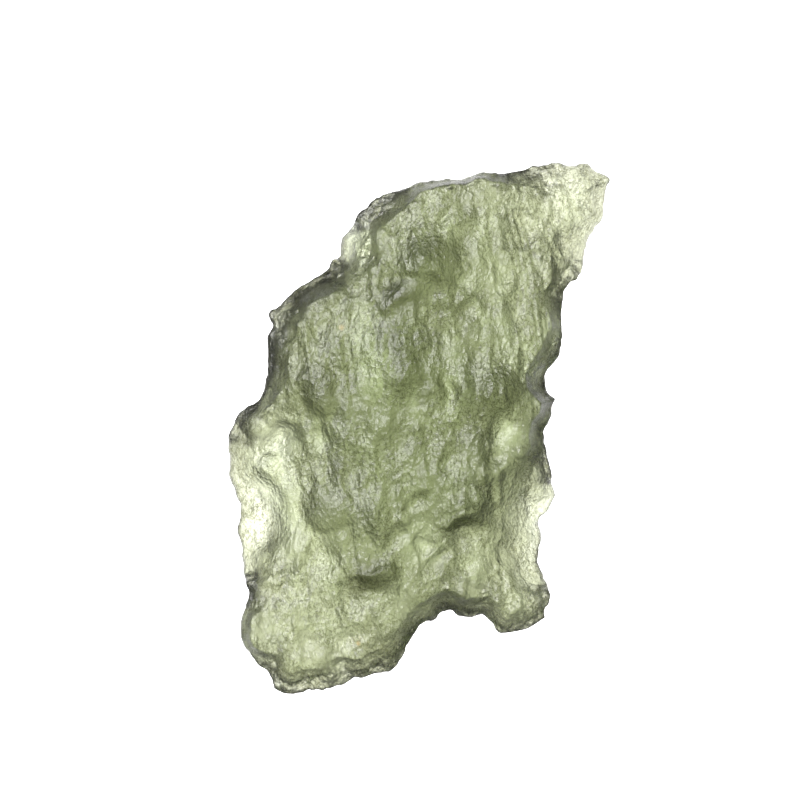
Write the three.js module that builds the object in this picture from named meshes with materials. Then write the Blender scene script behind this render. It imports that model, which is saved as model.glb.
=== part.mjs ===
// A moldavite: one splinter of green natural glass with an etched, pitted skin.
// Millimetres, +Z up. The broad face looks up, the length runs along Y, and the stone
// lies on a flat spot under its middle, at Z = 0. X = 0, Y = 0 is the middle of its outline.

import * as THREE from 'three';
import { ParametricGeometry } from 'three/addons/geometries/ParametricGeometry.js';
import { mergeGeometries, mergeVertices } from 'three/addons/utils/BufferGeometryUtils.js';

// Driving dimensions
const BODY_HEIGHT = 5.3; // broad upper face above the table, before its swells
const RIM_STEEP = 2.7; // height of the rim line, where the two faces meet, at the steep broken edges
const RIM_GENTLE = 1.3; // its height at the thin margins
const RIM_WAVE = 0.2; // how far that line rises and falls
const EDGE_STEP = 0.4; // short blunt wall that each face starts with at the rim
const EDGE_RADIUS = 0.35; // how far in from the rim that wall is rounded over
const UNDER_RUN_SHARE = 0.8; // the lower face's slope, as a share of the upper face's
const STEEP_RUN = 1.9; // slopes shorter than this are straight, with a sharp inner edge
const GENTLE_RUN = 3.2; // slopes longer than this ease into the face
const GENTLE_POWER = 1.7; // how strongly they ease
const REST_CENTRE = [-0.6, -0.4]; // middle of the flat spot
const REST_RADII = [3.4, 4.8]; // half width and half length of the flat spot
const UNDER_RISE = 0.36; // rise of the lower face for each rest radius out from the spot
const UNDER_BOWL_REACH = 0.5; // the lower face's bowls are full this many rest radii out from the spot
const RELIEF_FADE = 1.1; // pits and lumps run out to nothing over this width at the rim
const GRAIN_TURN = THREE.MathUtils.degToRad(8); // the pits' long axes lean this far from Y
const PIT_SKEW = 0.45; // pits are deeper and steeper towards -X and +Y by this share
const PIT_POWER = 2.1; // 2 gives a round bowl, more gives a flatter floor and steeper walls
const PLAN_WOBBLE = 0.17; // pits' and lumps' outlines waver by about this much
const RIDGE_WIDTH = 0.55;

// Crossing waves, each [share, radians per millimetre along X, the same along Y]
const RIM_WAVES = [[1, 0.55, 0.3], [1, -0.4, 0.8]]; // rise and fall of the rim line
const WOBBLE_WAVES_X = [[1, 0.7, 1.9], [0.6, -1.3, 3.1]]; // wavering of the pits' outlines along X
const WOBBLE_WAVES_Y = [[1, 1.7, -0.8], [0.6, 2.9, 1.5]]; // and along Y

// Mesh fineness: columns across, rows along, and how far they crowd towards the rim
const COLUMNS = 38;
const ROWS = 50;
const CROWDING = 0.42;
const SIDE_FADE_POWER = 3; // how quickly a side's wiggles die out in the mesh lines inside it
const WELD = 1e-4;

// The outline in four sides, each point as [x, y, run]. Run is how far in from the edge
// the upper face takes to climb: short on the steep broken edges, long on the thin margins.
const LEFT_SIDE = [ // foot to shoulder
  [-9.7, -17.65, 1.7], [-9.85, -17.1, 1.5], [-10.1, -16.5, 1.2], [-10.9, -15.8, 0.9],
  [-11.4, -15.3, 0.7], [-11.72, -14.6, 0.6], [-11.9, -12.95, 0.7], [-11.38, -11.3, 1.0],
  [-11.87, -9.5, 3.2], [-11.95, -8.0, 4.4], [-12.22, -7.0, 4.6], [-12.0, -5.8, 4.6],
  [-12.5, -4.1, 4.2], [-12.85, -3.3, 3.8], [-12.68, -2.1, 3.4], [-12.85, -1.7, 3.0],
  [-12.55, 0.0, 2.4], [-12.0, 1.0, 1.6], [-11.5, 1.45, 1.3], [-11.0, 1.65, 1.2],
  [-10.5, 2.4, 1.3], [-10.2, 3.2, 1.4], [-10.05, 4.1, 1.5], [-10.15, 5.85, 1.6],
  [-9.85, 6.7, 1.6], [-10.0, 7.35, 1.7], [-9.0, 8.55, 1.8], [-8.0, 9.5, 1.8],
  [-7.0, 10.0, 1.8], [-6.0, 10.7, 1.7], [-5.75, 11.25, 2.4], [-5.3, 11.6, 3.2],
  [-5.1, 12.75, 3.4], [-4.4, 13.65, 3.0], [-4.05, 14.25, 1.4],
];
const TOP_SIDE = [ // shoulder to tip
  [-4.05, 14.25, 1.4], [-3.5, 14.8, 1.5], [-3.0, 15.25, 1.7], [-2.0, 15.8, 1.6],
  [-1.0, 16.05, 1.0], [0.0, 16.45, 0.7], [2.0, 16.8, 0.55], [3.1, 16.82, 0.5],
  [3.7, 17.1, 0.5], [4.2, 17.22, 0.6], [5.3, 17.1, 0.7], [6.6, 17.28, 1.1],
  [8.2, 17.65, 1.6], [9.5, 17.92, 2.4], [10.2, 17.78, 2.8], [11.5, 17.78, 3.0],
  [12.0, 17.35, 3.2], [12.85, 16.9, 3.2], [12.95, 16.5, 3.2],
];
const RIGHT_SIDE = [ // foot to tip
  [8.6, -13.0, 1.6], [8.65, -12.3, 1.4], [8.9, -11.6, 1.8], [8.5, -10.1, 3.4],
  [8.15, -9.2, 4.0], [8.1, -8.4, 4.4], [8.4, -7.7, 4.6], [8.25, -6.2, 4.6],
  [8.85, -5.6, 4.0], [9.18, -4.8, 3.4], [8.9, -2.7, 2.4], [8.5, -0.3, 1.2],
  [8.95, 0.7, 0.9], [9.0, 1.2, 0.9], [9.25, 1.85, 0.9], [8.75, 2.4, 1.0],
  [8.48, 3.2, 1.1], [9.0, 4.2, 1.2], [9.5, 5.0, 1.1], [9.78, 6.2, 1.0],
  [9.65, 7.6, 1.0], [10.05, 9.4, 1.2], [10.6, 9.9, 1.8], [11.05, 10.5, 2.6],
  [11.2, 11.5, 3.0], [11.7, 13.0, 3.2], [12.5, 14.2, 3.2], [12.65, 15.2, 3.2],
  [12.95, 16.5, 3.2],
];
const BOTTOM_SIDE = [ // left foot, notch, right foot
  [-9.7, -17.65, 1.7], [-9.4, -17.85, 1.8], [-8.4, -17.97, 1.8], [-7.5, -17.75, 1.8],
  [-6.5, -17.72, 1.8], [-5.5, -17.5, 1.8], [-4.9, -17.3, 1.7], [-4.3, -16.9, 1.7],
  [-3.7, -16.88, 1.8], [-2.5, -16.6, 2.0], [-1.5, -16.2, 2.0], [-1.1, -15.6, 1.9],
  [-0.6, -14.5, 1.4], [-0.1, -13.6, 1.1], [0.5, -13.05, 1.2], [1.0, -12.95, 1.5],
  [1.6, -12.5, 1.7], [2.1, -12.4, 1.7], [2.8, -12.75, 1.7], [3.6, -12.83, 1.6],
  [4.3, -12.6, 1.2], [5.0, -13.3, 1.6], [5.5, -13.82, 1.8], [6.4, -13.9, 1.8],
  [7.6, -13.55, 1.8], [8.6, -13.0, 1.6],
];

// Broad swells (and, below zero, sags) of the upper face: [x, y, radius, height]
const SWELLS = [
  [-1.0, 2.0, 8.5, 1.3], [1.0, 11.5, 4.5, 0.6], [-3.2, -8.0, 4.0, 0.5], [10.8, 14.5, 4.5, -1.3],
  [7.9, -7.4, 3.6, -2.0], [-11.0, -6.0, 4.2, -2.0], [-9.2, -0.9, 2.4, -1.2], [-6.5, -14.5, 3.8, -0.5],
  [7.0, -12.0, 2.6, -0.2], [0.6, 11.2, 2.8, 0.6], [5.2, 2.2, 2.6, 0.6], [3.0, -4.6, 2.8, 0.6],
];

// Pits of the upper face: [x, y, half width, half length, depth]
const PITS = [
  [-3.6, -11.4, 2.1, 1.7, 0.81], [3.3, -7.5, 1.6, 1.4, 0.77], [1.6, -8.9, 0.95, 1.0, 0.51],
  [6.9, -4.2, 1.4, 1.9, 0.59], [-9.1, -0.9, 1.6, 1.4, 0.7], [-6.2, -0.9, 0.9, 1.2, 0.51],
  [3.3, 9.4, 0.8, 1.0, 0.51], [1.3, 9.3, 0.7, 1.0, 0.47], [3.3, 7.7, 0.9, 0.8, 0.43],
  [3.5, 12.4, 1.3, 1.5, 0.59], [1.87, 13.6, 0.6, 1.1, 0.43], [1.9, 5.9, 0.8, 1.3, 0.51],
  [2.2, 2.3, 0.8, 1.6, 0.55], [3.1, -0.4, 1.1, 1.1, 0.43], [5.75, -0.2, 1.2, 1.6, 0.68],
  [5.15, -2.3, 0.9, 0.9, 0.51], [2.2, -2.5, 0.9, 1.4, 0.51], [0.1, -5.25, 1.1, 1.0, 0.55],
  [-1.4, -7.6, 1.0, 1.3, 0.51], [0.4, -7.8, 0.9, 1.0, 0.6], [4.1, -11.0, 1.0, 0.8, 0.38],
  [-2.05, 9.9, 0.8, 1.1, 0.47], [-6.2, -8.9, 1.4, 2.3, 0.64], [-8.9, -11.5, 1.0, 1.2, 0.43],
  [-4.1, -14.2, 1.6, 1.0, 0.51], [-7.3, -14.6, 1.4, 1.2, 0.43], [-10.2, -6.6, 1.2, 2.1, 0.43],
  [-2.4, -15.2, 0.8, 0.8, 0.43], [10.3, 15.4, 1.4, 1.7, 0.21], [7.4, 3.8, 0.8, 1.5, 0.43],
  [7.2, 13.0, 0.9, 1.9, 0.43], [5.7, 10.4, 0.9, 1.7, 0.43], [6.7, 7.2, 0.9, 1.8, 0.43],
  [-0.2, 13.9, 0.9, 1.0, 0.34], [-6.2, 6.3, 1.0, 1.6, 0.51], [-4.2, -2.9, 1.1, 1.4, 0.43],
  [-0.9, -1.2, 1.0, 1.5, 0.43], [3.9, 4.6, 0.8, 1.6, 0.43], [-8.1, 4.9, 0.8, 1.6, 0.43],
  [2.9, 14.6, 0.9, 1.2, 0.34], [3.2, -9.3, 1.1, 0.9, 0.45],
];

// Lumps of the upper face, where the glass stays thick: [x, y, half width, half length, height]
const LUMPS = [
  [-0.4, 5.2, 1.6, 3.6, 0.45], [0.4, 10.9, 2.6, 2.2, 0.55], [5.3, 2.4, 1.7, 1.9, 0.5],
  [3.3, -5.4, 2.0, 1.7, 0.7], [-3.2, -5.9, 1.9, 2.0, 0.5], [2.4, -11.3, 1.9, 1.3, 0.4],
  [-1.4, 8.5, 1.6, 1.7, 0.45], [-2.6, -9.9, 1.9, 1.3, 0.5], [-6.0, 9.0, 1.6, 1.2, 0.3],
  [-6.6, 2.4, 1.8, 2.4, 0.35], [-2.1, 4.6, 2.1, 4.2, 0.65], [-6.0, -5.4, 2.0, 1.8, 0.4],
  [3.1, 2.4, 1.1, 2.2, 0.35], [8.0, 3.9, 0.9, 2.0, 0.3],
];

// Ridges of the upper face: height, then the points of the crest
const RIDGES = [
  { height: 0.3, crest: [[-12.2, -1.4], [-10.2, -3.0], [-8.4, -5.0], [-8.2, -7.5], [-8.1, -10.0]] },
  { height: 0.35, crest: [[4.6, -3.3], [5.6, -2.9], [6.5, -1.9], [8.2, -1.6]] },
  { height: 0.3, crest: [[8.4, 12.4], [10.1, 13.4], [11.8, 14.2]] },
];

// Bowls of the lower face, set on a spiral round the flat spot
const UNDER_BOWLS = 46;
const UNDER_SPIRAL_STEP = 2.35;
const UNDER_SPIRAL_STRETCH = 1.35; // along Y, as the outline is long
const UNDER_BOWL_RADIUS = 1.7;
const UNDER_BOWL_DEPTH = 0.5;
const GOLDEN_ANGLE = Math.PI * (3 - Math.sqrt(5));

const smoothCurve = (points) => {
  const knots = points.map(([x, y]) => new THREE.Vector3(x, y, 0));
  return new THREE.CatmullRomCurve3(knots, false, 'centripetal');
};

const sides = {
  left: smoothCurve(LEFT_SIDE),
  top: smoothCurve(TOP_SIDE),
  right: smoothCurve(RIGHT_SIDE),
  bottom: smoothCurve(BOTTOM_SIDE),
};
const outlinePoints = [...LEFT_SIDE, ...TOP_SIDE, ...RIGHT_SIDE, ...BOTTOM_SIDE];
const rimSegments = [LEFT_SIDE, TOP_SIDE, RIGHT_SIDE, BOTTOM_SIDE].flatMap(chainSegments);

// Straight pieces from each point of a chain to the next
function chainSegments(points) {
  return points.slice(1).map((end, i) => [points[i], end]);
}

function distanceToSegment(x, y, [[x0, y0], [x1, y1]]) {
  const alongX = x1 - x0;
  const alongY = y1 - y0;
  const share = ((x - x0) * alongX + (y - y0) * alongY) / (alongX * alongX + alongY * alongY);
  const t = THREE.MathUtils.clamp(share, 0, 1);
  return Math.hypot(x - x0 - t * alongX, y - y0 - t * alongY);
}

function distanceToChain(x, y, segments) {
  return Math.min(...segments.map((segment) => distanceToSegment(x, y, segment)));
}

// Slope width at a place: the outline points' runs, weighted by the inverse fourth power of distance
function slopeRun(x, y) {
  let weightSum = 0;
  let runSum = 0;
  for (const [px, py, run] of outlinePoints) {
    const squared = (x - px) ** 2 + (y - py) ** 2 + WELD;
    const weight = 1 / (squared * squared);
    weightSum += weight;
    runSum += weight * run;
  }
  return runSum / weightSum;
}

function waveSum(waves, x, y) {
  return waves.reduce((sum, [share, alongX, alongY]) => sum + share * Math.sin(alongX * x + alongY * y), 0);
}

// A place in plan, shifted by crossing waves, so that no pit is a clean oval
function wavering(x, y) {
  const shiftX = PLAN_WOBBLE * waveSum(WOBBLE_WAVES_X, x, y);
  const shiftY = PLAN_WOBBLE * waveSum(WOBBLE_WAVES_Y, x, y);
  return [x + shiftX, y + shiftY];
}

// Squared distance from a pit's or lump's middle, 1 at its edge, in its own turned axes
function ellipsePlace(x, y, [cx, cy, halfWidth, halfLength]) {
  const [waveredX, waveredY] = wavering(x, y);
  const cos = Math.cos(GRAIN_TURN);
  const sin = Math.sin(GRAIN_TURN);
  const across = (cos * (waveredX - cx) + sin * (waveredY - cy)) / halfWidth;
  const along = (cos * (waveredY - cy) - sin * (waveredX - cx)) / halfLength;
  return { squared: across * across + along * along, across, along };
}

// Pits are bowls, and where two meet the deeper one wins, which leaves a sharp ridge between them
function pitDepth(x, y) {
  let deepest = 0;
  for (const pit of PITS) {
    const { squared, across, along } = ellipsePlace(x, y, pit);
    const skew = 1 + PIT_SKEW * (along - across);
    const depth = pit[4] * (1 - squared ** (PIT_POWER / 2)) * skew;
    if (squared < 1) deepest = Math.max(deepest, depth);
  }
  return deepest;
}

function lumpHeight(x, y) {
  let height = 0;
  for (const lump of LUMPS) {
    const { squared } = ellipsePlace(x, y, lump);
    if (squared < 1) height += lump[4] * (1 - squared) ** 2;
  }
  return height;
}

function ridgeHeight(x, y) {
  let height = 0;
  for (const ridge of RIDGES) {
    const distance = distanceToChain(x, y, chainSegments(ridge.crest));
    height += ridge.height * Math.exp(-((distance / RIDGE_WIDTH) ** 2));
  }
  return height;
}

function swellHeight(x, y) {
  let height = 0;
  for (const [cx, cy, radius, rise] of SWELLS) {
    height += rise * Math.exp(-((x - cx) ** 2 + (y - cy) ** 2) / (radius * radius));
  }
  return height;
}

function underBowlDepth(x, y) {
  let deepest = 0;
  for (let k = 1; k <= UNDER_BOWLS; k += 1) {
    const reach = UNDER_SPIRAL_STEP * Math.sqrt(k);
    const cx = REST_CENTRE[0] + reach * Math.cos(k * GOLDEN_ANGLE);
    const cy = REST_CENTRE[1] + UNDER_SPIRAL_STRETCH * reach * Math.sin(k * GOLDEN_ANGLE);
    const squared = ((x - cx) ** 2 + (y - cy) ** 2) / UNDER_BOWL_RADIUS ** 2;
    deepest = Math.max(deepest, UNDER_BOWL_DEPTH * (1 - squared));
  }
  return deepest;
}

// How many rest radii a place is out from the flat spot's edge, below zero inside it
function restReach(x, y) {
  return Math.hypot((x - REST_CENTRE[0]) / REST_RADII[0], (y - REST_CENTRE[1]) / REST_RADII[1]) - 1;
}

// 0 on the steep broken edges, 1 on the thin margins
const gentleShare = (run) => THREE.MathUtils.smoothstep(run, STEEP_RUN, GENTLE_RUN);

function rimHeight(x, y, run) {
  const height = THREE.MathUtils.lerp(RIM_STEEP, RIM_GENTLE, gentleShare(run));
  return height + RIM_WAVE * waveSum(RIM_WAVES, x, y);
}

// Share of the climb done at a distance in from the rim, for a slope's width and its edge's run
function slopeShare(distance, width, run) {
  const power = THREE.MathUtils.lerp(1, GENTLE_POWER, gentleShare(run));
  return 1 - Math.max(0, 1 - distance / width) ** power;
}

// Quarter round at the rim, from 0 up to the edge step
function edgeStep(distance) {
  const share = Math.min(distance / EDGE_RADIUS, 1);
  return EDGE_STEP * Math.sqrt(1 - (1 - share) ** 2);
}

function upperHeight(x, y, distance) {
  const run = slopeRun(x, y);
  const start = rimHeight(x, y, run) + edgeStep(distance);
  const face = BODY_HEIGHT + swellHeight(x, y);
  const relief = lumpHeight(x, y) + ridgeHeight(x, y) - pitDepth(x, y);
  const climb = (face - start) * slopeShare(distance, run, run);
  return start + climb + relief * Math.min(distance / RELIEF_FADE, 1);
}

function lowerHeight(x, y, distance) {
  const run = slopeRun(x, y);
  const start = rimHeight(x, y, run) - edgeStep(distance);
  const reach = restReach(x, y);
  const bowl = underBowlDepth(x, y) * THREE.MathUtils.clamp(reach / UNDER_BOWL_REACH, 0, 1);
  const face = UNDER_RISE * Math.max(reach, 0) + bowl * Math.min(distance / RELIEF_FADE, 1);
  const drop = (start - face) * slopeShare(distance, run * UNDER_RUN_SHARE, run);
  return Math.max(start - drop, 0);
}

// Even steps from 0 to 1, crowded towards both ends
const crowded = (t) => t - (CROWDING * Math.sin(2 * Math.PI * t)) / (2 * Math.PI);

// A point inside the outline for u across and v along: the flat quad of the four corners, plus how
// far each side departs from its straight chord, fading with a power of the way in from that side
function insideOutline(u, v) {
  const [footLeft, footRight] = [sides.bottom.getPointAt(0), sides.bottom.getPointAt(1)];
  const [headLeft, headRight] = [sides.top.getPointAt(0), sides.top.getPointAt(1)];
  const straight = {
    left: footLeft.clone().lerp(headLeft, v),
    right: footRight.clone().lerp(headRight, v),
    bottom: footLeft.clone().lerp(footRight, u),
    top: headLeft.clone().lerp(headRight, u),
  };
  const nearness = { left: 1 - u, right: u, bottom: 1 - v, top: v };
  const along = { left: v, right: v, bottom: u, top: u };
  const point = straight.left.clone().lerp(straight.right, u);
  for (const [name, curve] of Object.entries(sides)) {
    const departure = curve.getPointAt(along[name]).sub(straight[name]);
    point.addScaledVector(departure, nearness[name] ** SIDE_FADE_POWER);
  }
  return [point.x, point.y];
}

// One face of the stone as a grid over the outline. The lower one runs across the other way,
// so that its triangles look down.
function stoneFace(heightAt, looksUp) {
  const place = (s, t, target) => {
    const u = crowded(looksUp ? s : 1 - s);
    const v = crowded(t);
    const onRim = s <= 0 || s >= 1 || t <= 0 || t >= 1;
    const [x, y] = insideOutline(u, v);
    const distance = onRim ? 0 : distanceToChain(x, y, rimSegments);
    target.set(x, y, heightAt(x, y, distance));
  };
  const face = new ParametricGeometry(place, COLUMNS, ROWS);
  face.deleteAttribute('normal');
  face.deleteAttribute('uv');
  return face;
}

function moldaviteGeometry() {
  const faces = [stoneFace(upperHeight, true), stoneFace(lowerHeight, false)];
  const stone = mergeVertices(mergeGeometries(faces), WELD);
  stone.computeVertexNormals();
  return stone;
}

const greenGlass = new THREE.MeshStandardMaterial({ color: 0x9ea483, roughness: 0.3, metalness: 0 });

const moldavite = new THREE.Mesh(moldaviteGeometry(), greenGlass);
moldavite.name = 'moldavite';

const stoneGroup = new THREE.Group();
stoneGroup.add(moldavite);

export default stoneGroup;
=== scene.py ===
# Moldavite: a flat splinter of green natural glass with an etched, pitted skin, lying on its flat spot
import math

import bpy
import numpy as np
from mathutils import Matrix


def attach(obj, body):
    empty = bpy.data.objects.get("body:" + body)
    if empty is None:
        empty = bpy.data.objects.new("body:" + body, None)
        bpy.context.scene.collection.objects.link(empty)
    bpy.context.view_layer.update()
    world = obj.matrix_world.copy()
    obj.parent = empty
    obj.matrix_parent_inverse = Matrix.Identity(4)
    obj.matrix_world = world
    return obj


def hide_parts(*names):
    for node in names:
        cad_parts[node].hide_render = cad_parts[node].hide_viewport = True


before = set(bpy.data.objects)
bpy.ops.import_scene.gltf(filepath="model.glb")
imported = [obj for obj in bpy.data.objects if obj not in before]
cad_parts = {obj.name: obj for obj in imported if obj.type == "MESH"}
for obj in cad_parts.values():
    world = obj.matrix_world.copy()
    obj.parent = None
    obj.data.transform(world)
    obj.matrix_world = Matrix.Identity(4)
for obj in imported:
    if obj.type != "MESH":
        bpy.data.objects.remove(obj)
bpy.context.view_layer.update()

millimetre = 0.001  # shapes below are worked out in millimetres, and meshes are in metres

# Outline in four sides, each point (x, y, run): run is how far in from the edge the upper face takes
# to climb, short on the steep broken edges and long on the thin margins
outline = {
    "left": [  # foot to shoulder
        (-9.7, -17.65, 1.7), (-9.85, -17.1, 1.5), (-10.1, -16.5, 1.2), (-10.9, -15.8, 0.9),
        (-11.4, -15.3, 0.7), (-11.72, -14.6, 0.6), (-11.9, -12.95, 0.7), (-11.38, -11.3, 1.0),
        (-11.87, -9.5, 3.2), (-11.95, -8.0, 4.4), (-12.22, -7.0, 4.6), (-12.0, -5.8, 4.6),
        (-12.5, -4.1, 4.2), (-12.85, -3.3, 3.8), (-12.68, -2.1, 3.4), (-12.85, -1.7, 3.0),
        (-12.55, 0.0, 2.4), (-12.0, 1.0, 1.6), (-11.5, 1.45, 1.3), (-11.0, 1.65, 1.2),
        (-10.5, 2.4, 1.3), (-10.2, 3.2, 1.4), (-10.05, 4.1, 1.5), (-10.15, 5.85, 1.6),
        (-9.85, 6.7, 1.6), (-10.0, 7.35, 1.7), (-9.0, 8.55, 1.8), (-8.0, 9.5, 1.8),
        (-7.0, 10.0, 1.8), (-6.0, 10.7, 1.7), (-5.75, 11.25, 2.4), (-5.3, 11.6, 3.2),
        (-5.1, 12.75, 3.4), (-4.4, 13.65, 3.0), (-4.05, 14.25, 1.4),
    ],
    "top": [  # shoulder to tip
        (-4.05, 14.25, 1.4), (-3.5, 14.8, 1.5), (-3.0, 15.25, 1.7), (-2.0, 15.8, 1.6),
        (-1.0, 16.05, 1.0), (0.0, 16.45, 0.7), (2.0, 16.8, 0.55), (3.1, 16.82, 0.5),
        (3.7, 17.1, 0.5), (4.2, 17.22, 0.6), (5.3, 17.1, 0.7), (6.6, 17.28, 1.1),
        (8.2, 17.65, 1.6), (9.5, 17.92, 2.4), (10.2, 17.78, 2.8), (11.5, 17.78, 3.0),
        (12.0, 17.35, 3.2), (12.85, 16.9, 3.2), (12.95, 16.5, 3.2),
    ],
    "right": [  # foot to tip
        (8.6, -13.0, 1.6), (8.65, -12.3, 1.4), (8.9, -11.6, 1.8), (8.5, -10.1, 3.4),
        (8.15, -9.2, 4.0), (8.1, -8.4, 4.4), (8.4, -7.7, 4.6), (8.25, -6.2, 4.6),
        (8.85, -5.6, 4.0), (9.18, -4.8, 3.4), (8.9, -2.7, 2.4), (8.5, -0.3, 1.2),
        (8.95, 0.7, 0.9), (9.0, 1.2, 0.9), (9.25, 1.85, 0.9), (8.75, 2.4, 1.0),
        (8.48, 3.2, 1.1), (9.0, 4.2, 1.2), (9.5, 5.0, 1.1), (9.78, 6.2, 1.0),
        (9.65, 7.6, 1.0), (10.05, 9.4, 1.2), (10.6, 9.9, 1.8), (11.05, 10.5, 2.6),
        (11.2, 11.5, 3.0), (11.7, 13.0, 3.2), (12.5, 14.2, 3.2), (12.65, 15.2, 3.2),
        (12.95, 16.5, 3.2),
    ],
    "bottom": [  # left foot, bite, right foot
        (-9.7, -17.65, 1.7), (-9.4, -17.85, 1.8), (-8.4, -17.97, 1.8), (-7.5, -17.75, 1.8),
        (-6.5, -17.72, 1.8), (-5.5, -17.5, 1.8), (-4.9, -17.3, 1.7), (-4.3, -16.9, 1.7),
        (-3.7, -16.88, 1.8), (-2.5, -16.6, 2.0), (-1.5, -16.2, 2.0), (-1.1, -15.6, 1.9),
        (-0.6, -14.5, 1.4), (-0.1, -13.6, 1.1), (0.5, -13.05, 1.2), (1.0, -12.95, 1.5),
        (1.6, -12.5, 1.7), (2.1, -12.4, 1.7), (2.8, -12.75, 1.7), (3.6, -12.83, 1.6),
        (4.3, -12.6, 1.2), (5.0, -13.3, 1.6), (5.5, -13.82, 1.8), (6.4, -13.9, 1.8),
        (7.6, -13.55, 1.8), (8.6, -13.0, 1.6),
    ],
}

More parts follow.
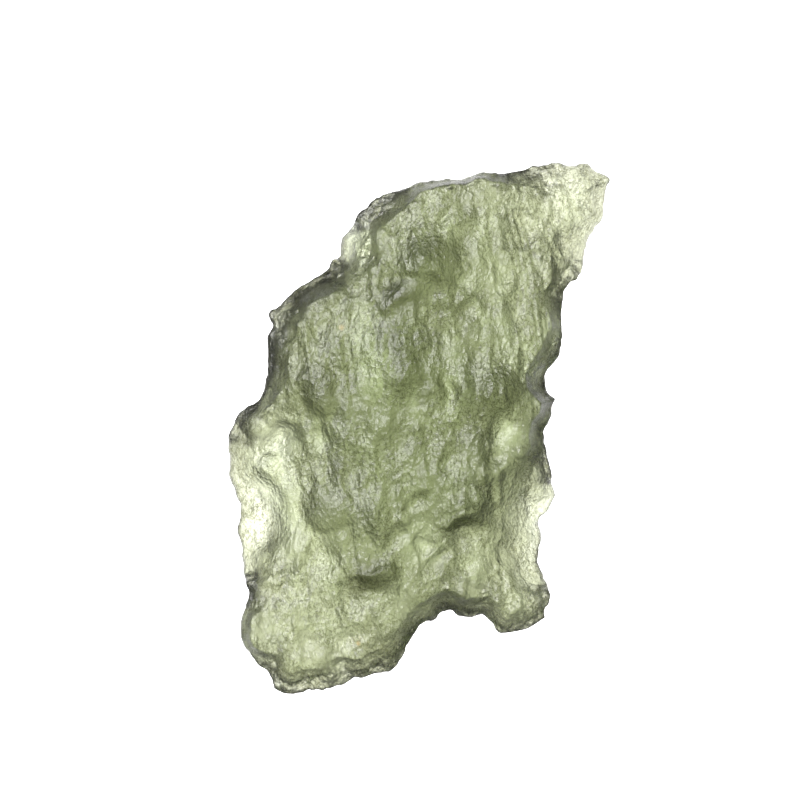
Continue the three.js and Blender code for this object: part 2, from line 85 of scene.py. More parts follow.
# The stone's body and relief, in millimetres
stone = {
    "bodyHeight": 5.3,  # broad upper face above the table, before its swells
    "rimSteep": 2.7,  # line round the outline where the two faces meet, at the steep broken edges
    "rimGentle": 1.3,  # the same line at the thin margins
    "rimWave": 0.2,
    "edgeStep": 0.4,  # short blunt wall that each face starts with
    "edgeRadius": 0.35,
    "underRunShare": 0.8,  # the lower slope's width, as a share of the upper one's
    "steepRun": 1.9,  # slopes shorter than this are straight, with a sharp inner edge
    "gentleRun": 3.2,  # slopes longer than this ease into the face
    "gentlePower": 1.7,
    "restCentre": (-0.6, -0.4),
    "restRadii": (3.4, 4.8),  # flat spot, half width and half length
    "underRise": 0.36,
    "reliefFade": 1.1,
    "grainTurn": math.radians(8),  # pits and streaks lean this far from Y
    "pitSkew": 0.45,  # pits are deeper and steeper towards -X and +Y
    "pitPower": 2.1,  # 2 gives a round bowl, more gives a flatter floor and steeper walls
    "planWobble": 0.17,  # pits' and lumps' outlines waver by about this much
    # crossing waves: share, radians per millimetre along X, the same along Y
    "rimWaves": [(1, 0.55, 0.3), (1, -0.4, 0.8)],
    "wobbleWavesX": [(1, 0.7, 1.9), (0.6, -1.3, 3.1)],
    "wobbleWavesY": [(1, 1.7, -0.8), (0.6, 2.9, 1.5)],
    "ridgeWidth": 0.55,
    "columns": 180,
    "rows": 268,
    "crowding": 0.3,  # mesh lines crowd towards the rim
    "sideFadePower": 3,
    # broad swells of the upper face: x, y, radius, height
    "swells": [
        (-1.0, 2.0, 8.5, 1.3), (1.0, 11.5, 4.5, 0.6), (-3.2, -8.0, 4.0, 0.5), (10.8, 14.5, 4.5, -1.3),
        (7.9, -7.4, 3.6, -2.0), (-11.0, -6.0, 4.2, -2.0), (-9.2, -0.9, 2.4, -1.2), (-6.5, -14.5, 3.8, -0.5),
        (7.0, -12.0, 2.6, -0.2), (0.6, 11.2, 2.8, 0.6), (5.2, 2.2, 2.6, 0.6), (3.0, -4.6, 2.8, 0.6),
    ],
    # pits of the upper face: x, y, half width, half length, depth
    "pits": [
        (-3.6, -11.4, 2.1, 1.7, 0.81), (3.3, -7.5, 1.6, 1.4, 0.77), (1.6, -8.9, 0.95, 1.0, 0.51),
        (6.9, -4.2, 1.4, 1.9, 0.59), (-9.1, -0.9, 1.6, 1.4, 0.7), (-6.2, -0.9, 0.9, 1.2, 0.51),
        (3.3, 9.4, 0.8, 1.0, 0.51), (1.3, 9.3, 0.7, 1.0, 0.47), (3.3, 7.7, 0.9, 0.8, 0.43),
        (3.5, 12.4, 1.3, 1.5, 0.59), (1.87, 13.6, 0.6, 1.1, 0.43), (1.9, 5.9, 0.8, 1.3, 0.51),
        (2.2, 2.3, 0.8, 1.6, 0.55), (3.1, -0.4, 1.1, 1.1, 0.43), (5.75, -0.2, 1.2, 1.6, 0.68),
        (5.15, -2.3, 0.9, 0.9, 0.51), (2.2, -2.5, 0.9, 1.4, 0.51), (0.1, -5.25, 1.1, 1.0, 0.55),
        (-1.4, -7.6, 1.0, 1.3, 0.51), (0.4, -7.8, 0.9, 1.0, 0.6), (4.1, -11.0, 1.0, 0.8, 0.38),
        (-2.05, 9.9, 0.8, 1.1, 0.47), (-6.2, -8.9, 1.4, 2.3, 0.64), (-8.9, -11.5, 1.0, 1.2, 0.43),
        (-4.1, -14.2, 1.6, 1.0, 0.51), (-7.3, -14.6, 1.4, 1.2, 0.43), (-10.2, -6.6, 1.2, 2.1, 0.43),
        (-2.4, -15.2, 0.8, 0.8, 0.43), (10.3, 15.4, 1.4, 1.7, 0.21), (7.4, 3.8, 0.8, 1.5, 0.43),
        (7.2, 13.0, 0.9, 1.9, 0.43), (5.7, 10.4, 0.9, 1.7, 0.43), (6.7, 7.2, 0.9, 1.8, 0.43),
        (-0.2, 13.9, 0.9, 1.0, 0.34), (-6.2, 6.3, 1.0, 1.6, 0.51), (-4.2, -2.9, 1.1, 1.4, 0.43),
        (-0.9, -1.2, 1.0, 1.5, 0.43), (3.9, 4.6, 0.8, 1.6, 0.43), (-8.1, 4.9, 0.8, 1.6, 0.43),
        (2.9, 14.6, 0.9, 1.2, 0.34), (3.2, -9.3, 1.1, 0.9, 0.45),
    ],
    # lumps of the upper face, where the glass stays thick: x, y, half width, half length, height
    "lumps": [
        (-0.4, 5.2, 1.6, 3.6, 0.45), (0.4, 10.9, 2.6, 2.2, 0.55), (5.3, 2.4, 1.7, 1.9, 0.5),
        (3.3, -5.4, 2.0, 1.7, 0.7), (-3.2, -5.9, 1.9, 2.0, 0.5), (2.4, -11.3, 1.9, 1.3, 0.4),
        (-1.4, 8.5, 1.6, 1.7, 0.45), (-2.6, -9.9, 1.9, 1.3, 0.5), (-6.0, 9.0, 1.6, 1.2, 0.3),
        (-6.6, 2.4, 1.8, 2.4, 0.35), (-2.1, 4.6, 2.1, 4.2, 0.65), (-6.0, -5.4, 2.0, 1.8, 0.4),
        (3.1, 2.4, 1.1, 2.2, 0.35), (8.0, 3.9, 0.9, 2.0, 0.3),
    ],
    # ridges of the upper face: height, then the points of the crest
    "ridges": [
        (0.3, [(-12.2, -1.4), (-10.2, -3.0), (-8.4, -5.0), (-8.2, -7.5), (-8.1, -10.0)]),
        (0.35, [(4.6, -3.3), (5.6, -2.9), (6.5, -1.9), (8.2, -1.6)]),
        (0.3, [(8.4, 12.4), (10.1, 13.4), (11.8, 14.2)]),
    ],
    # etched cells of both faces: size across, draw along the grain, depth, seed
    "upperCells": [(1.7, 1.9, 0.24, 11), (0.75, 4.2, 0.2, 12), (0.4, 2.0, 0.1, 13)],
    "lowerCells": [(2.1, 1.2, 0.4, 21), (0.9, 1.4, 0.12, 22), (0.42, 1.3, 0.04, 23)],
    "calm": 0.6,  # share of the cells that is missing inside the pits and in the smooth areas
    # smooth areas between the pits: x, y, half width, half length
    "smoothAreas": [
        (-10.8, -5.8, 2.6, 5.6), (7.4, -7.4, 2.2, 4.6), (7.0, -3.4, 1.3, 1.3), (11.2, 14.6, 1.9, 3.2),
        (-4.0, 12.2, 0.9, 2.2), (-9.2, -0.9, 2.4, 2.0), (-6.8, 2.7, 1.6, 1.9), (3.35, 8.0, 1.0, 0.9),
        (-3.5, 4.5, 1.0, 3.4), (-6.1, -5.4, 1.8, 1.6), (-0.9, 9.0, 1.2, 0.9), (3.2, -6.3, 1.4, 0.8),
        (-3.0, -10.2, 1.4, 0.9),
    ],
    "windowEdge": 1.6,  # how sharply pits and smooth areas end for the cells
    "bowlShares": (0.55, 0.9),  # least depth of a cell, and how much more some have
    "bowlFall": 1.4,  # how fast a cell's bowl rises to its crest
    "slopeCells": [(1.0, 1.0, 0.4, 31), (0.5, 1.0, 0.28, 32), (0.24, 1.0, 0.16, 33)],  # crumbly steep bands
    "crumbleStart": 0.25,  # width over which the crumbling sets in at the rim
    "crumbleLimit": 0.5,
    "crumbleFloor": 0.01,
    "leastThickness": 0.2,
    "underBowlReach": 0.5,  # the lower cells are full this many rest radii out from the flat spot
    "runChange": 0.25,  # slopes grow wider and narrower by this share
    "runPace": 0.7,  # lattice steps per millimetre, as for the paces below
    "runSeed": 61,
    "edgeWobble": 0.09,  # ragged edge line
    "wobbleReach": 0.6,
    "wobblePaces": (1.3, 3.1),
    "wobbleFineShare": 0.6,
    "wobbleSeeds": [(41, 42), (43, 44)],  # for X and for Y
    # bundles of fine furrows along the grain: x, y, half width, half length, depth
    "furrows": [
        (7.0, 12.2, 1.3, 3.6, 0.1), (8.1, 6.3, 0.9, 3.0, 0.1), (5.6, 15.1, 0.6, 1.4, 0.08),
        (-7.5, 5.8, 1.1, 2.8, 0.08), (-4.6, -7.8, 0.9, 1.3, 0.1), (4.2, 10.5, 1.5, 3.0, 0.07),
        (-3.4, 4.4, 0.9, 2.6, 0.04), (-4.3, -3.5, 1.0, 2.6, 0.07),
    ],
    "furrowSpacing": 0.4,
    "furrowEdge": 1.5,
    "furrowBend": 0.5,
    "furrowPaces": (0.5, 0.12),  # bends across and along the grain
    "furrowSeed": 51,
}


def sideCurve(points, share):
    # Smooth line through the points: cubic Hermite pieces over the chord length, each point's tangent the
    # slope between its neighbours. Share runs from 0 to 1 along the line.
    knots = np.array(points)[:, :2]
    reach = np.concatenate([[0], np.cumsum(np.hypot(*np.diff(knots, axis=0).T))])
    slopes = np.gradient(knots, reach, axis=0)
    at = share * reach[-1]
    k = np.clip(np.searchsorted(reach, at, side="right") - 1, 0, len(reach) - 2)
    step = (reach[k + 1] - reach[k])[:, None]
    t = ((at - reach[k])[:, None]) / step
    start = (1 + 2 * t) * (1 - t) ** 2 * knots[k] + t * (1 - t) ** 2 * step * slopes[k]
    end = t ** 2 * (3 - 2 * t) * knots[k + 1] + t ** 2 * (t - 1) * step * slopes[k + 1]
    return start + end


def gridInOutline(columns, rows, crowding):
    # Points inside the outline on a grid, u across and v along: the flat quad of the four corners, plus
    # how far each side departs from its chord, fading with a power of the way in from that side
    def crowded(count):
        t = np.linspace(0, 1, count + 1)
        return t - crowding * np.sin(2 * math.pi * t) / (2 * math.pi)

    across, along = crowded(columns), crowded(rows)
    u, v = across[None, :, None], along[:, None, None]
    sides = {
        "left": sideCurve(outline["left"], along)[:, None],
        "right": sideCurve(outline["right"], along)[:, None],
        "bottom": sideCurve(outline["bottom"], across)[None],
        "top": sideCurve(outline["top"], across)[None],
    }
    footLeft, footRight = sides["bottom"][:, :1], sides["bottom"][:, -1:]
    headLeft, headRight = sides["top"][:, :1], sides["top"][:, -1:]
    chords = {
        "left": (1 - v) * footLeft + v * headLeft,
        "right": (1 - v) * footRight + v * headRight,
        "bottom": (1 - u) * footLeft + u * footRight,
        "top": (1 - u) * headLeft + u * headRight,
    }
    nearness = {"left": 1 - u, "right": u, "bottom": 1 - v, "top": v}
    points = (1 - u) * chords["left"] + u * chords["right"]
    for name, side in sides.items():
        points = points + nearness[name] ** stone["sideFadePower"] * (side - chords[name])
    return points[..., 0], points[..., 1]


def chainDistance(x, y, chain):
    # Shortest distance from each point to a chain of straight pieces, one row of the grid at a time
    start, end = chain[:-1], chain[1:]
    run = end - start
    squared = np.maximum((run ** 2).sum(1), 1e-12)
    nearest = np.empty_like(x)
    for row in range(len(x)):
        toX = x[row][:, None] - start[None, :, 0]
        toY = y[row][:, None] - start[None, :, 1]
        t = np.clip((toX * run[:, 0] + toY * run[:, 1]) / squared, 0, 1)
        nearest[row] = np.hypot(toX - t * run[:, 0], toY - t * run[:, 1]).min(1)
    return nearest


def slopeRun(x, y):
    # Slope width at each place: the outline points' runs, weighted by the inverse fourth power of distance
    weightSum = np.zeros_like(x)
    runSum = np.zeros_like(x)
    for px, py, run in sum(outline.values(), []):
        weight = 1 / ((x - px) ** 2 + (y - py) ** 2 + 1e-4) ** 2
        weightSum += weight
        runSum += weight * run
    return runSum / weightSum


def grainAxes(x, y):
    # Distances across and along the leaning grain
    cos, sin = math.cos(stone["grainTurn"]), math.sin(stone["grainTurn"])
    return cos * x + sin * y, cos * y - sin * x


def inOval(x, y, centreX, centreY, halfWidth, halfLength):
    # Place in a leaning oval: shares of its half width and half length, and their squared sum, 1 at the edge
    across, along = grainAxes(x - centreX, y - centreY)
    across, along = across / halfWidth, along / halfLength
    return across, along, across ** 2 + along ** 2


latticeSide = 256


def valueNoise(x, y, seed):
    # Smooth noise from -1 to 1: random heights on a square lattice, eased between with a quintic
    heights = np.random.default_rng(seed).random((latticeSide, latticeSide)) * 2 - 1
    cellX, cellY = np.floor(x).astype(int), np.floor(y).astype(int)
    fx, fy = x - cellX, y - cellY
    easeX = fx ** 3 * (fx * (fx * 6 - 15) + 10)
    easeY = fy ** 3 * (fy * (fy * 6 - 15) + 10)
    low, high = cellX % latticeSide, (cellX + 1) % latticeSide
    near, far = cellY % latticeSide, (cellY + 1) % latticeSide
    front = heights[low, near] * (1 - easeX) + heights[high, near] * easeX
    back = heights[low, far] * (1 - easeX) + heights[high, far] * easeX
    return front * (1 - easeY) + back * easeY


def cellBowls(x, y, size, draw, depth, seed):
    # Etched cells: one bowl round each point of a jittered lattice, drawn out along the grain. The bowl is
    # one less the squared distance to the nearest point, so neighbours meet in sharp crests.
    jitter = np.random.default_rng(seed).random((3, latticeSide, latticeSide))
    across, along = grainAxes(x, y)
    gx, gy = across / size, along / (size * draw)
    nearest = np.full(x.shape, 9.0)
    strength = np.zeros_like(x)
    for stepX in (-1, 0, 1):
        for stepY in (-1, 0, 1):
            cx, cy = np.floor(gx).astype(int) + stepX, np.floor(gy).astype(int) + stepY
            jx, jy, js = jitter[:, cx % latticeSide, cy % latticeSide]
            squared = (gx - cx - jx) ** 2 + (gy - cy - jy) ** 2
            closer = squared < nearest
            nearest = np.where(closer, squared, nearest)
            strength = np.where(closer, js, strength)
    least, more = stone["bowlShares"]
    return depth * (least + more * strength) * np.maximum(1 - stone["bowlFall"] * nearest, 0)


def waveSum(waves, x, y):
    # Sum of sines that cross the plan, each with its share and its quickness along X and Y
    return sum(share * np.sin(alongX * x + alongY * y) for share, alongX, alongY in waves)


def wavering(x, y):
    # A place in plan, shifted by crossing waves, so that no pit is a clean oval
    shiftX = stone["planWobble"] * waveSum(stone["wobbleWavesX"], x, y)
    shiftY = stone["planWobble"] * waveSum(stone["wobbleWavesY"], x, y)
    return x + shiftX, y + shiftY


def pitDepth(x, y):
    # Bowls, deeper and steeper towards -X and +Y; where two meet the deeper one wins and leaves a sharp ridge
    deepest = np.zeros_like(x)
    x, y = wavering(x, y)
    for *oval, depth in stone["pits"]:
        across, along, squared = inOval(x, y, *oval)
        skew = 1 + stone["pitSkew"] * (along - across)
        bowl = depth * np.maximum(1 - squared ** (stone["pitPower"] / 2), 0) * skew
        deepest = np.maximum(deepest, bowl)
    return deepest


def calmShare(x, y):
    # How calm the skin is: 1 inside the pits and the smooth areas, falling off with the squared distance
    calm = np.zeros_like(x)
    x, y = wavering(x, y)
    for oval in [pit[:4] for pit in stone["pits"]] + stone["smoothAreas"]:
        squared = inOval(x, y, *oval)[2]
        calm = np.maximum(calm, np.clip(stone["windowEdge"] * (1 - squared), 0, 1))
    return calm


def furrowDepth(x, y):
    # Fine furrows: a sine across the grain, bent a little by noise, inside soft oval windows
    across, along = grainAxes(x, y)
    paceAcross, paceAlong = stone["furrowPaces"]
    bend = stone["furrowBend"] * valueNoise(paceAcross * across, paceAlong * along, stone["furrowSeed"])
    waves = (1 + np.sin(2 * math.pi * (across + bend) / stone["furrowSpacing"])) / 2
    depth = np.zeros_like(x)
    for *oval, deep in stone["furrows"]:
        squared = inOval(x, y, *oval)[2]
        depth = np.maximum(depth, deep * np.clip(stone["furrowEdge"] * (1 - squared), 0, 1))
    return depth * waves


def lumpHeight(x, y):
    # Soft mounds: the square of one less the squared distance
    height = np.zeros_like(x)
    x, y = wavering(x, y)
    for *oval, rise in stone["lumps"]:
        squared = inOval(x, y, *oval)[2]
        height += rise * np.maximum(1 - squared, 0) ** 2
    return height


def ridgeHeight(x, y):
    # Rounded crests: a bell curve of the distance to each chain of points
    height = np.zeros_like(x)
    for rise, crest in stone["ridges"]:
        distance = chainDistance(x, y, np.array(crest))
        height += rise * np.exp(-(distance / stone["ridgeWidth"]) ** 2)
    return height


def swellHeight(x, y):
    # Broad bell-shaped swells and sags
    height = np.zeros_like(x)
    for cx, cy, radius, rise in stone["swells"]:
        height += rise * np.exp(-((x - cx) ** 2 + (y - cy) ** 2) / radius ** 2)
    return height


def stoneHeights(x, y, distance):
    # Heights of the upper and lower face over the grid. Both start at the rim line with a quarter-round
    # step, climb or drop over the slope's run, and carry relief that fades out at the rim.
    rounding = np.minimum(distance / stone["edgeRadius"], 1)
    step = stone["edgeStep"] * np.sqrt(1 - (1 - rounding) ** 2)
    run = slopeRun(x, y)
    fade = np.minimum(distance / stone["reliefFade"], 1)
    gentle = np.clip((run - stone["steepRun"]) / (stone["gentleRun"] - stone["steepRun"]), 0, 1)
    gentle = gentle ** 2 * (3 - 2 * gentle)
    rim = stone["rimSteep"] + (stone["rimGentle"] - stone["rimSteep"]) * gentle
    rim = rim + stone["rimWave"] * waveSum(stone["rimWaves"], x, y)
    change = valueNoise(stone["runPace"] * x, stone["runPace"] * y, stone["runSeed"])
    run = run * (1 + stone["runChange"] * change * np.minimum(distance, 1))
    power = 1 + (stone["gentlePower"] - 1) * gentle
    share = 1 - np.maximum(0, 1 - distance / run) ** power
    band = (1 - gentle) * np.exp(-(distance / run) ** 2) * np.minimum(distance / stone["crumbleStart"], 1)

    def crumble(height, shift):
        # Bowls eaten into a slope, levelling off at a share of the slope's own height
        bowls = band * sum(cellBowls(x + shift, y, *cells) for cells in stone["slopeCells"])
        limit = stone["crumbleLimit"] * np.maximum(height, stone["crumbleFloor"])
        return limit * np.tanh(bowls / limit)

    etching = sum(cellBowls(x, y, *cells) for cells in stone["upperCells"])
    etching = etching * (1 - stone["calm"] * calmShare(x, y))
    relief = lumpHeight(x, y) + ridgeHeight(x, y) - pitDepth(x, y) - etching - furrowDepth(x, y)
    face = stone["bodyHeight"] + swellHeight(x, y)
    upper = rim + step + (face - rim - step) * share + relief * fade
    upper = upper - crumble(upper - rim, 0)

    restX, restY = stone["restCentre"]
    radiusX, radiusY = stone["restRadii"]
    reach = np.maximum(np.hypot((x - restX) / radiusX, (y - restY) / radiusY) - 1, 0)
    bowls = sum(cellBowls(x, y, *cells) for cells in stone["lowerCells"])
    under = stone["underRise"] * reach + bowls * np.minimum(reach / stone["underBowlReach"], 1) * fade
    underShare = 1 - np.maximum(0, 1 - distance / (run * stone["underRunShare"])) ** power
    lower = rim - step - (rim - step - under) * underShare
    lower = lower + crumble(rim - lower, latticeSide / 2)
    lower = np.maximum(np.minimum(lower, upper - stone["leastThickness"] * rounding), 0)
    return upper, lower


def buildStone():
    # Two sheets over one grid that share their rim, joined into one closed mesh
    columns, rows = stone["columns"], stone["rows"]
    x, y = gridInOutline(columns, rows, stone["crowding"])
    rim = np.concatenate([
        np.stack([x[0], y[0]], 1), np.stack([x[:, -1], y[:, -1]], 1),
        np.stack([x[-1, ::-1], y[-1, ::-1]], 1), np.stack([x[::-1, 0], y[::-1, 0]], 1),
    ])
    distance = chainDistance(x, y, rim)
    onRim = np.ones_like(x, bool)
    onRim[1:-1, 1:-1] = False
    distance[onRim] = 0
    upper, lower = stoneHeights(x, y, distance)

    # ragged edge line: points slide sideways by noise that dies out within a millimetre of the rim
    slide = stone["edgeWobble"] * np.exp(-distance / stone["wobbleReach"])
    coarse, fine = stone["wobblePaces"]

    def ragged(coarseSeed, fineSeed):
        # Coarse noise with a share of fine noise on top
        roughly = valueNoise(coarse * x, coarse * y, coarseSeed)
        return slide * (roughly + stone["wobbleFineShare"] * valueNoise(fine * x, fine * y, fineSeed))

    x = x + ragged(*stone["wobbleSeeds"][0])
    y = y + ragged(*stone["wobbleSeeds"][1])

    count = x.size
    upperIndex = np.arange(count).reshape(x.shape)
    lowerIndex = upperIndex.copy()
    lowerIndex[~onRim] = count + np.arange((~onRim).sum())
    upperPoints = np.stack([x, y, upper], -1).reshape(-1, 3)
    lowerPoints = np.stack([x, y, lower], -1)[~onRim]
    points = np.concatenate([upperPoints, lowerPoints]) * millimetre

    def quads(index, order):
        corners = [index[:-1, :-1], index[:-1, 1:], index[1:, 1:], index[1:, :-1]]
        return np.stack([corners[k] for k in order], -1).reshape(-1, 4)

    faces = np.concatenate([quads(upperIndex, (0, 1, 2, 3)), quads(lowerIndex, (3, 2, 1, 0))])
    mesh = bpy.data.meshes.new("moldaviteGlass")
    mesh.vertices.add(len(points))
    mesh.vertices.foreach_set("co", points.astype(np.float32).ravel())
    mesh.loops.add(faces.size)
    mesh.loops.foreach_set("vertex_index", faces.astype(np.int32).ravel())
    mesh.polygons.add(len(faces))
    mesh.polygons.foreach_set("loop_start", np.arange(0, faces.size, 4, dtype=np.int32))
    mesh.polygons.foreach_set("use_smooth", np.ones(len(faces), bool))
    mesh.update(calc_edges=True)
    mesh.validate()
    piece = bpy.data.objects.new("moldaviteGlass", mesh)
    bpy.context.scene.collection.objects.link(piece)
    print("stone:", len(points), "points,", 2 * len(faces), "triangles")
    return piece


# Green glass: clear, with an absorbing inside and an etched skin
glass = {
    "ior": 1.49,
    "absorbColour": (0.531, 0.58, 0.38),
    "absorbDensity": 480.0,  # per metre
    "specular": 0.8,
    "roughLow": 0.27,
    "roughHigh": 0.36,
    "roughSize": 1.3,  # millimetres, like all sizes here
    "roughFrom": (0.3, 0.7),
    "grainScale": (1, 0.75, 1),
    "crinkleSize": 0.17,
    "crinkleDepth": 0.05,
    "crinkleBend": 0.8,
    "rippleSize": 0.26,
    "rippleDepth": 0.06,
    "ripplePower": 2,
    "grainSize": 0.08,
    "grainDepth": 0.025,
    "lineSize": 0.28,  # painted shade: fine dark crackle standing in for the shade in the creases of the etched skin
    "lineWidth": 0.08,
    "crackleShadeTint": 0.18,
    "lineBend": 0.6,
    "patchSize": 2.4,  # the painted crackle shade is stronger in patches
    "patchFrom": (0.3, 0.52),
    "tintSize": 2.2,
    "tintLow": (0.93, 0.95, 0.88, 1),
    "tintHigh": (1.0, 1.0, 0.97, 1),
    "cloudLevel": 0.52,  # how clear the glass is between its clouds
    "cloudWander": 1.4,  # how far the clouds' outlines wander
    "wanderSize": 1.2,
    "flowSize": 1.2,  # fine flow bands along the grain
    "flowDraw": 5.0,
    "flowDepth": 0.36,
    "cloudGreen": 1.22,  # blue is held back by this power of the clearness
    # clouds of painted sheen and painted shade, partly also the glass's own flow streaks: clearer ones paint
    # the sheen patches and the light through thin glass, darker ones the shade of thick glass and tilted
    # walls; x, y, half width, half length, how much clearer (or, below 0, darker) they are
    "sheenAndShadeClouds": [
        (-3.2, 4.6, 1.4, 4.4, 0.6), (-3.8, 12.3, 1.2, 2.8, 0.6), (5.8, -0.3, 1.6, 2.2, 0.4),
        (-9.1, -0.9, 2.2, 2.1, 0.4), (0.5, -7.8, 1.7, 2.1, 0.3), (2.2, 2.3, 1.0, 2.3, 0.4),
        (7.4, 3.8, 1.0, 2.6, 0.4), (-6.2, -0.8, 1.4, 1.8, 0.35), (-6.2, -8.9, 1.6, 2.6, 0.2),
        (9.2, 6.0, 1.0, 3.4, 0.45), (3.3, 9.3, 0.9, 1.2, 0.35), (1.9, 13.3, 0.7, 1.4, 0.35),
        (-9.7, -5.2, 3.2, 5.0, 0.4), (8.6, -7.2, 2.8, 4.8, 0.4), (3.3, -9.2, 1.2, 1.2, 0.25),
        (2.2, 6.0, 0.8, 1.4, 0.3), (10.2, 14.6, 3.4, 4.0, 0.14), (5.4, 11.0, 1.4, 4.0, 0.15),
        (-5.6, -12.8, 2.0, 2.0, 0.12), (10.6, -1.0, 1.2, 5.0, 0.5), (-6.8, 2.5, 2.0, 2.6, -0.2),
        (-1.3, 8.8, 2.2, 1.5, -0.34), (-1.0, 4.6, 1.2, 4.6, -0.1), (-3.3, -10.1, 2.3, 1.6, -0.34),
        (3.3, -6.3, 2.2, 1.3, -0.04), (1.0, 11.8, 1.7, 1.5, -0.24), (5.4, 2.3, 1.6, 1.7, -0.16),
        (7.0, -13.0, 2.4, 1.2, -0.1), (-7.0, -17.0, 3.4, 1.1, -0.05), (-8.2, 8.8, 1.4, 1.2, -0.44),
        (-6.0, 10.2, 1.3, 1.2, -0.44), (-3.2, 14.7, 1.3, 0.9, -0.2), (-6.2, -5.4, 2.2, 2.0, -0.18),
        (3.3, 7.8, 1.0, 1.6, -0.14), (3.0, -0.6, 1.2, 1.2, -0.12), (-2.2, -15.0, 1.4, 1.4, -0.2),
        (2.5, -11.9, 1.9, 0.9, -0.2), (-1.5, 5.4, 0.5, 2.8, -0.24), (0.2, 3.4, 0.5, 2.6, -0.2),
        (3.5, 5.2, 0.45, 2.6, -0.2), (1.3, 8.6, 0.5, 2.4, -0.16), (4.4, 1.0, 0.45, 2.2, -0.16),
        (-0.3, 1.6, 0.5, 1.8, 0.25), (4.4, 6.6, 0.4, 2.6, 0.25), (5.8, 6.4, 0.35, 3.2, 0.25),
        (8.7, 2.3, 0.8, 1.8, -0.35), (-7.6, 4.6, 0.4, 2.6, -0.16), (-0.6, -4.2, 0.5, 1.8, 0.2),
        (3.4, -3.6, 0.5, 1.8, 0.22),
    ],
    "rustSpecks": [(-5.12, 6.65, 0.26), (-4.0, -14.5, 0.2)],  # x, y, radius
    "rustColour": (0.95, 0.52, 0.2, 1),
    "bubbleRings": [(2.22, 3.78, 0.3), (3.86, -5.26, 0.3)],  # painted dark rings standing in for the shade at the wall of a small bubble: x, y, radius
    "ringShade": 0.34,
    "ringPlace": 0.2,  # way in from the radius, as a share
    "ringWidth": 0.14,
}


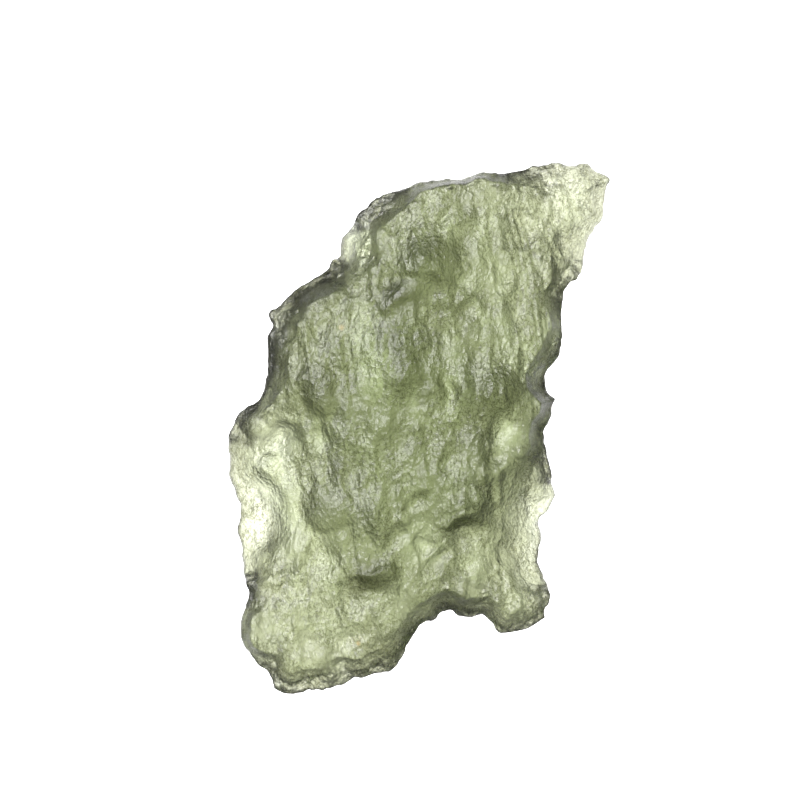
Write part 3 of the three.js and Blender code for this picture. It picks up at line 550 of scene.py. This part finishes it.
def glassMaterial():
    material = bpy.data.materials.new("greenNaturalGlass")
    material.use_nodes = True
    nodes, links = material.node_tree.nodes, material.node_tree.links
    shader = nodes["Principled BSDF"]
    shader.inputs["Transmission Weight"].default_value = 1.0
    shader.inputs["IOR"].default_value = glass["ior"]
    shader.inputs["Specular IOR Level"].default_value = glass["specular"]
    place = nodes.new("ShaderNodeTexCoord")
    grain = nodes.new("ShaderNodeMapping")
    grain.inputs["Rotation"].default_value = (0, 0, -stone["grainTurn"])
    grain.inputs["Scale"].default_value = glass["grainScale"]
    links.new(place.outputs["Object"], grain.inputs["Vector"])

    def pattern(kind, size, source):
        node = nodes.new(kind)
        node.inputs["Scale"].default_value = 1 / (size * millimetre)
        links.new(source, node.inputs["Vector"])
        return node

    def ranged(socket, fromLow, fromHigh, low, high):
        node = nodes.new("ShaderNodeMapRange")
        node.inputs["From Min"].default_value = fromLow
        node.inputs["From Max"].default_value = fromHigh
        node.inputs["To Min"].default_value = low
        node.inputs["To Max"].default_value = high
        links.new(socket, node.inputs["Value"])
        return node

    def sums(operation, socket, value=None):
        node = nodes.new("ShaderNodeMath")
        node.operation = operation
        links.new(socket, node.inputs[0])
        if isinstance(value, bpy.types.NodeSocket):
            links.new(value, node.inputs[1])
        elif value is not None:
            node.inputs[1].default_value = value
        return node

    tintNoise = pattern("ShaderNodeTexNoise", glass["tintSize"], grain.outputs["Vector"])
    tint = nodes.new("ShaderNodeMix")
    tint.data_type = "RGBA"
    tint.inputs["A"].default_value = glass["tintLow"]
    tint.inputs["B"].default_value = glass["tintHigh"]
    links.new(tintNoise.outputs["Fac"], tint.inputs["Factor"])

    roughNoise = pattern("ShaderNodeTexNoise", glass["roughSize"], grain.outputs["Vector"])
    rough = ranged(roughNoise.outputs["Fac"], *glass["roughFrom"], glass["roughLow"], glass["roughHigh"])
    links.new(rough.outputs["Result"], shader.inputs["Roughness"])

    # etched skin: scalloped ripples, then a finer grain on top of them
    crinkle = pattern("ShaderNodeTexNoise", glass["crinkleSize"], grain.outputs["Vector"])
    crinkle.inputs["Distortion"].default_value = glass["crinkleBend"]
    ripple = pattern("ShaderNodeTexVoronoi", glass["rippleSize"], grain.outputs["Vector"])
    fine = pattern("ShaderNodeTexNoise", glass["grainSize"], grain.outputs["Vector"])

    def scaled(socket, factor, base=None):
        node = nodes.new("ShaderNodeMath")
        node.operation = "MULTIPLY_ADD"
        links.new(socket, node.inputs[0])
        node.inputs[1].default_value = factor
        node.inputs[2].default_value = 0
        if base is not None:
            links.new(base, node.inputs[2])
        return node.outputs[0]

    height = scaled(crinkle.outputs["Fac"], glass["crinkleDepth"])
    bowl = sums("POWER", ripple.outputs["Distance"], glass["ripplePower"])
    height = scaled(bowl.outputs[0], glass["rippleDepth"], height)
    height = scaled(fine.outputs["Fac"], glass["grainDepth"], height)
    bump = nodes.new("ShaderNodeBump")
    bump.inputs["Distance"].default_value = millimetre
    links.new(height, bump.inputs["Height"])
    links.new(bump.outputs["Normal"], shader.inputs["Normal"])

    # painted shade along the ripple lines, standing in for the shade in the skin's creases, darker in some
    # patches than in others
    patches = pattern("ShaderNodeTexNoise", glass["patchSize"], grain.outputs["Vector"])
    deepest = ranged(patches.outputs["Fac"], *glass["patchFrom"], 1, glass["crackleShadeTint"])
    wander = pattern("ShaderNodeTexNoise", glass["lineSize"], grain.outputs["Vector"])
    wander.inputs["Distortion"].default_value = glass["lineBend"]
    middle = sums("SUBTRACT", wander.outputs["Fac"], 0.5)  # 0 on the lines, halfway up the noise
    offLine = sums("ABSOLUTE", middle.outputs[0])
    crackleShade = ranged(offLine.outputs[0], 0, glass["lineWidth"], 0, 1)
    links.new(deepest.outputs["Result"], crackleShade.inputs["To Min"])

    def spot(x, y, halfWidth, halfLength, source, shift=0.0):
        # 1 at a place in plan, falling evenly to 0 at an oval round it
        put = nodes.new("ShaderNodeMapping")
        put.vector_type = "TEXTURE"
        put.inputs["Location"].default_value = ((x + shift) * millimetre, (y + shift) * millimetre, 0)
        put.inputs["Rotation"].default_value = (0, 0, stone["grainTurn"])
        put.inputs["Scale"].default_value = (halfWidth * millimetre, halfLength * millimetre, 1)
        links.new(source, put.inputs["Vector"])
        ball = nodes.new("ShaderNodeTexGradient")
        ball.gradient_type = "SPHERICAL"
        links.new(put.outputs["Vector"], ball.inputs["Vector"])
        return ball.outputs["Fac"]

    # clouds of painted sheen and painted shade with wandering outlines, over fine flow bands
    wanderNoise = pattern("ShaderNodeTexNoise", glass["wanderSize"], place.outputs["Object"])
    wandering = nodes.new("ShaderNodeVectorMath")
    wandering.operation = "MULTIPLY_ADD"
    wandering.inputs[1].default_value = [glass["cloudWander"] * millimetre] * 3
    links.new(wanderNoise.outputs["Color"], wandering.inputs[0])
    links.new(place.outputs["Object"], wandering.inputs[2])
    drawn = nodes.new("ShaderNodeMapping")
    drawn.inputs["Rotation"].default_value = (0, 0, -stone["grainTurn"])
    drawn.inputs["Scale"].default_value = (1, 1 / glass["flowDraw"], 1 / glass["flowDraw"])
    links.new(place.outputs["Object"], drawn.inputs["Vector"])
    flow = pattern("ShaderNodeTexNoise", glass["flowSize"], drawn.outputs["Vector"])
    clear = scaled(flow.outputs["Fac"], glass["flowDepth"])
    clear.node.inputs[2].default_value = glass["cloudLevel"] - glass["flowDepth"] / 2
    # painted sheen and shade: each cloud makes the glass clearer or darker
    for *oval, amount in glass["sheenAndShadeClouds"]:
        cloud = spot(*oval, wandering.outputs["Vector"], glass["cloudWander"] / 2)
        clear = scaled(cloud, amount, clear)
    # painted shade: a dark ring round each bubble place
    for x, y, radius in glass["bubbleRings"]:
        ring = sums("COMPARE", spot(x, y, radius, radius, place.outputs["Object"]), glass["ringPlace"])
        ring.inputs[2].default_value = glass["ringWidth"]
        clear = scaled(ring.outputs[0], -glass["ringShade"], clear)
    clear.node.use_clamp = True

    def mixed(blend, factor, first, second):
        node = nodes.new("ShaderNodeMix")
        node.data_type = "RGBA"
        node.blend_type = blend
        for name, value in (("Factor", factor), ("A", first), ("B", second)):
            socket = node.inputs[name]
            if isinstance(value, bpy.types.NodeSocket):
                links.new(value, socket)
            else:
                socket.default_value = value
        return node.outputs["Result"]

    # the less clear, by the painted sheen and shade clouds or by the painted crackle shade, the greener
    shade = sums("MULTIPLY", clear, crackleShade.outputs["Result"])
    blue = sums("POWER", shade.outputs[0], glass["cloudGreen"])
    cloudColour = nodes.new("ShaderNodeCombineColor")
    links.new(shade.outputs[0], cloudColour.inputs["Red"])
    links.new(shade.outputs[0], cloudColour.inputs["Green"])
    links.new(blue.outputs[0], cloudColour.inputs["Blue"])
    colour = mixed("MULTIPLY", 1, tint.outputs["Result"], cloudColour.outputs["Color"])
    for x, y, radius in glass["rustSpecks"]:
        speck = spot(x, y, radius, radius, place.outputs["Object"])
        colour = mixed("MIX", speck, colour, glass["rustColour"])
    links.new(colour, shader.inputs["Base Color"])

    inside = nodes.new("ShaderNodeVolumeAbsorption")
    inside.inputs["Color"].default_value = (*glass["absorbColour"], 1)
    inside.inputs["Density"].default_value = glass["absorbDensity"]
    links.new(inside.outputs["Volume"], nodes["Material Output"].inputs["Volume"])
    return material


# Camera, floor and light: the stone lies on a pale lit table and is seen from straight above
studio = {
    "lens": 200.0,
    "sensor": 36.0,
    "clip": (0.005, 10.0),  # metres
    "viewCentre": (-1.213, 1.820),  # millimetres, what the image centre looks at
    "viewWidth": 53.93,  # millimetres across the image, at the height of the rim
    "floorSize": 900.0,
    "floorGap": 0.05,
    "floorTone": 0.62,
    "floorRough": 0.9,
    "tableSize": 300.0,
    "tablePower": 0.222,
    "tableSpread": 95.0,  # degrees
    "softPower": 2.6,
    "softSize": 280.0,
    "softPlace": (-118.0, 118.0, 230.0),
    "world": 0.4,
}


def buildCamera():
    lens = bpy.data.cameras.new("overheadCamera")
    lens.lens = studio["lens"]
    lens.sensor_width = studio["sensor"]
    lens.clip_start, lens.clip_end = studio["clip"]
    camera = bpy.data.objects.new("overheadCamera", lens)
    away = studio["viewWidth"] / 2 / (lens.sensor_width / 2 / lens.lens)
    x, y = studio["viewCentre"]
    camera.location = (x * millimetre, y * millimetre, (stone["rimSteep"] + away) * millimetre)
    bpy.context.scene.collection.objects.link(camera)
    bpy.context.scene.camera = camera


def buildFloor():
    half = studio["floorSize"] / 2 * millimetre
    drop = -studio["floorGap"] * millimetre
    mesh = bpy.data.meshes.new("paleFloor")
    corners = [(-half, -half, drop), (half, -half, drop), (half, half, drop), (-half, half, drop)]
    mesh.from_pydata(corners, [], [(0, 1, 2, 3)])
    floor = bpy.data.objects.new("paleFloor", mesh)
    material = bpy.data.materials.new("paleFloor")
    material.use_nodes = True
    shader = material.node_tree.nodes["Principled BSDF"]
    tone = studio["floorTone"]
    shader.inputs["Base Color"].default_value = (tone, tone, tone, 1)
    shader.inputs["Roughness"].default_value = studio["floorRough"]
    mesh.materials.append(material)
    bpy.context.scene.collection.objects.link(floor)
    return floor


def areaLight(name, size, power, place, aim, spread=180.0):
    light = bpy.data.lights.new(name, "AREA")
    light.size = size * millimetre
    light.energy = power
    light.spread = math.radians(spread)
    lamp = bpy.data.objects.new(name, light)
    start = np.array(place) * millimetre
    lamp.location = start
    away = np.array(aim) * millimetre - start
    tilt = math.atan2(math.hypot(away[0], away[1]), -away[2])
    lamp.rotation_euler = (tilt, 0, math.atan2(away[0], -away[1]) + math.pi)
    bpy.context.scene.collection.objects.link(lamp)
    return lamp


def buildLight(floor):
    gap = studio["floorGap"]
    table = areaLight("litTable", studio["tableSize"], studio["tablePower"], (0, 0, -gap / 2), (0, 0, 1),
                      studio["tableSpread"])
    table.visible_camera = True
    softBox = areaLight("softBox", studio["softSize"], studio["softPower"], studio["softPlace"], (0, 0, 0))
    # the floor is left out of the soft light, so that the table's own glow stays directed
    flagged = bpy.data.collections.new("keptOutOfSoftBox")
    flagged.objects.link(floor)
    flagged.collection_objects[0].light_linking.link_state = "EXCLUDE"
    softBox.light_linking.receiver_collection = flagged
    world = bpy.data.worlds.new("greyRoom")
    world.use_nodes = True
    level = studio["world"]
    world.node_tree.nodes["Background"].inputs["Color"].default_value = (level, level, level, 1)
    bpy.context.scene.world = world


buildCamera()
print("camera: straight above")
moldaviteGlass = buildStone()
moldaviteGlass.data.materials.append(glassMaterial())
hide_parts("moldavite")
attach(moldaviteGlass, "root")
buildLight(buildFloor())
bpy.context.scene.view_settings.view_transform = "Standard"
print("floor and light: in place")
